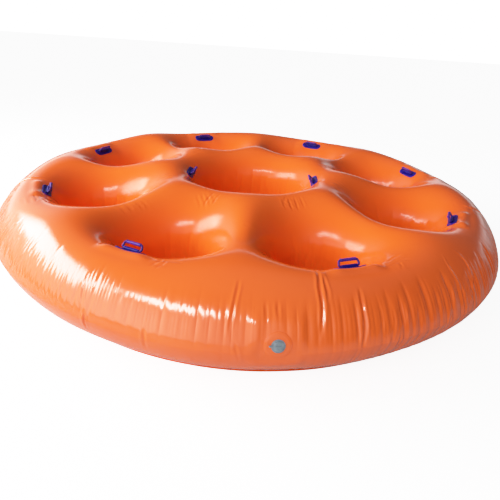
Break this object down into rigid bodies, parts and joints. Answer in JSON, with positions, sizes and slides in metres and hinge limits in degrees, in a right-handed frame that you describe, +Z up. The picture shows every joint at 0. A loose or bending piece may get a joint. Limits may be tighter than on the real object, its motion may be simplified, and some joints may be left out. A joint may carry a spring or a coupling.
{
  "type": "towable tube",
  "caption": "Round inflatable tow platform with a ring of seat wells around a middle well, swinging grab handles, an inflation valve and a tow ring.",
  "frame": {"origin": "centre of the object on the plane it rests on", "axes": "+Z up; -Y towards the valve and the front spoke; +Y towards the tow point"},
  "size_m": [3.5, 3.529, 0.596],
  "materials": {
    "skin": "glossy heat-welded PVC sheet with fine gathers",
    "pad": "moulded flexible PVC, satin",
    "webbing": "woven polyester webbing",
    "grip": "smooth rubber tube",
    "valve_grey": "moulded plastic, semi-gloss",
    "gasket": "matte",
    "spring_steel": "bright",
    "ring_steel": "polished stainless steel"
  },
  "bodies": {
    "chamber": {"top_panel_1": "skin", "top_panel_2": "skin", "top_panel_3": "skin", "top_panel_4": "skin", "top_panel_5": "skin", "top_panel_6": "skin", "top_panel_7": "skin", "top_panel_8": "skin", "base_panel_1": "skin", "base_panel_2": "skin", "base_panel_3": "skin", "base_panel_4": "skin", "seat_wall_1": "skin", "seat_wall_2": "skin", "seat_wall_3": "skin", "seat_wall_4": "skin", "seat_wall_5": "skin", "seat_wall_6": "skin", "seat_wall_7": "skin", "seat_wall_8": "skin", "centre_wall": "skin", "seat_floors": "skin", "centre_floor": "skin", "handle_pads": "pad", "valve_patch": "skin", "valve_body": "valve_grey", "valve_gasket": "gasket", "valve_nut": "valve_grey", "valve_spring": "spring_steel", "cap_leash": "valve_grey", "tow_patch": "pad", "tow_webbing": "webbing"},
    "handle_1": {"handle_strap_1": "webbing", "handle_grip_1": "grip"},
    "handle_2": {"handle_strap_2": "webbing", "handle_grip_2": "grip"},
    "handle_3": {"handle_strap_3": "webbing", "handle_grip_3": "grip"},
    "handle_4": {"handle_strap_4": "webbing", "handle_grip_4": "grip"},
    "handle_5": {"handle_strap_5": "webbing", "handle_grip_5": "grip"},
    "handle_6": {"handle_strap_6": "webbing", "handle_grip_6": "grip"},
    "handle_7": {"handle_strap_7": "webbing", "handle_grip_7": "grip"},
    "handle_8": {"handle_strap_8": "webbing", "handle_grip_8": "grip"},
    "handle_9": {"handle_strap_9": "webbing", "handle_grip_9": "grip"},
    "handle_10": {"handle_strap_10": "webbing", "handle_grip_10": "grip"},
    "valve_cap": {"valve_cap": "valve_grey"},
    "valve_poppet": {"valve_poppet": "valve_grey"},
    "tow_ring": {"tow_ring": "ring_steel"}
  },
  "joints": [
    {"name": "handle_1_swing", "type": "hinge", "parent": "chamber", "child": "handle_1", "pos_m": [0.54002, -1.30373, 0.51903], "axis": [0.9239, 0.3827, 0], "range_deg": [-60, 60]},
    {"name": "handle_2_swing", "type": "hinge", "parent": "chamber", "child": "handle_2", "pos_m": [1.30373, -0.54002, 0.51903], "axis": [0.3827, 0.9239, 0], "range_deg": [-60, 60]},
    {"name": "handle_3_swing", "type": "hinge", "parent": "chamber", "child": "handle_3", "pos_m": [1.30373, 0.54002, 0.51903], "axis": [-0.3827, 0.9239, 0], "range_deg": [-60, 60]},
    {"name": "handle_4_swing", "type": "hinge", "parent": "chamber", "child": "handle_4", "pos_m": [0.54002, 1.30373, 0.51903], "axis": [-0.9239, 0.3827, 0], "range_deg": [-60, 60]},
    {"name": "handle_5_swing", "type": "hinge", "parent": "chamber", "child": "handle_5", "pos_m": [-0.54002, 1.30373, 0.51903], "axis": [-0.9239, -0.3827, 0], "range_deg": [-60, 60]},
    {"name": "handle_6_swing", "type": "hinge", "parent": "chamber", "child": "handle_6", "pos_m": [-1.30373, 0.54002, 0.51903], "axis": [-0.3827, -0.9239, 0], "range_deg": [-60, 60]},
    {"name": "handle_7_swing", "type": "hinge", "parent": "chamber", "child": "handle_7", "pos_m": [-1.30373, -0.54002, 0.51903], "axis": [0.3827, -0.9239, 0], "range_deg": [-60, 60]},
    {"name": "handle_8_swing", "type": "hinge", "parent": "chamber", "child": "handle_8", "pos_m": [-0.54002, -1.30373, 0.51903], "axis": [0.9239, -0.3827, 0], "range_deg": [-60, 60]},
    {"name": "handle_9_swing", "type": "hinge", "parent": "chamber", "child": "handle_9", "pos_m": [0.45124, 0, 0.54684], "axis": [0, 1, 0], "range_deg": [-60, 60]},
    {"name": "handle_10_swing", "type": "hinge", "parent": "chamber", "child": "handle_10", "pos_m": [-0.45124, 0, 0.54684], "axis": [0, -1, 0], "range_deg": [-60, 60]},
    {"name": "valve_cap_lift", "type": "slide", "parent": "chamber", "child": "valve_cap", "axis": [0.1134, -0.9697, 0.2165], "range_m": [0, 0.03]},
    {"name": "valve_press", "type": "slide", "parent": "chamber", "child": "valve_poppet", "axis": [-0.1134, 0.9697, -0.2165], "range_m": [0, 0.0035], "stiffness_N_per_m": 400, "springref_m": -0.002, "deforming": ["valve_spring"]},
    {"name": "tow_ring_swing", "type": "hinge", "parent": "chamber", "child": "tow_ring", "pos_m": [0, 1.769, 0.287], "axis": [1, 0, 0], "range_deg": [0, 165]}
  ]
}
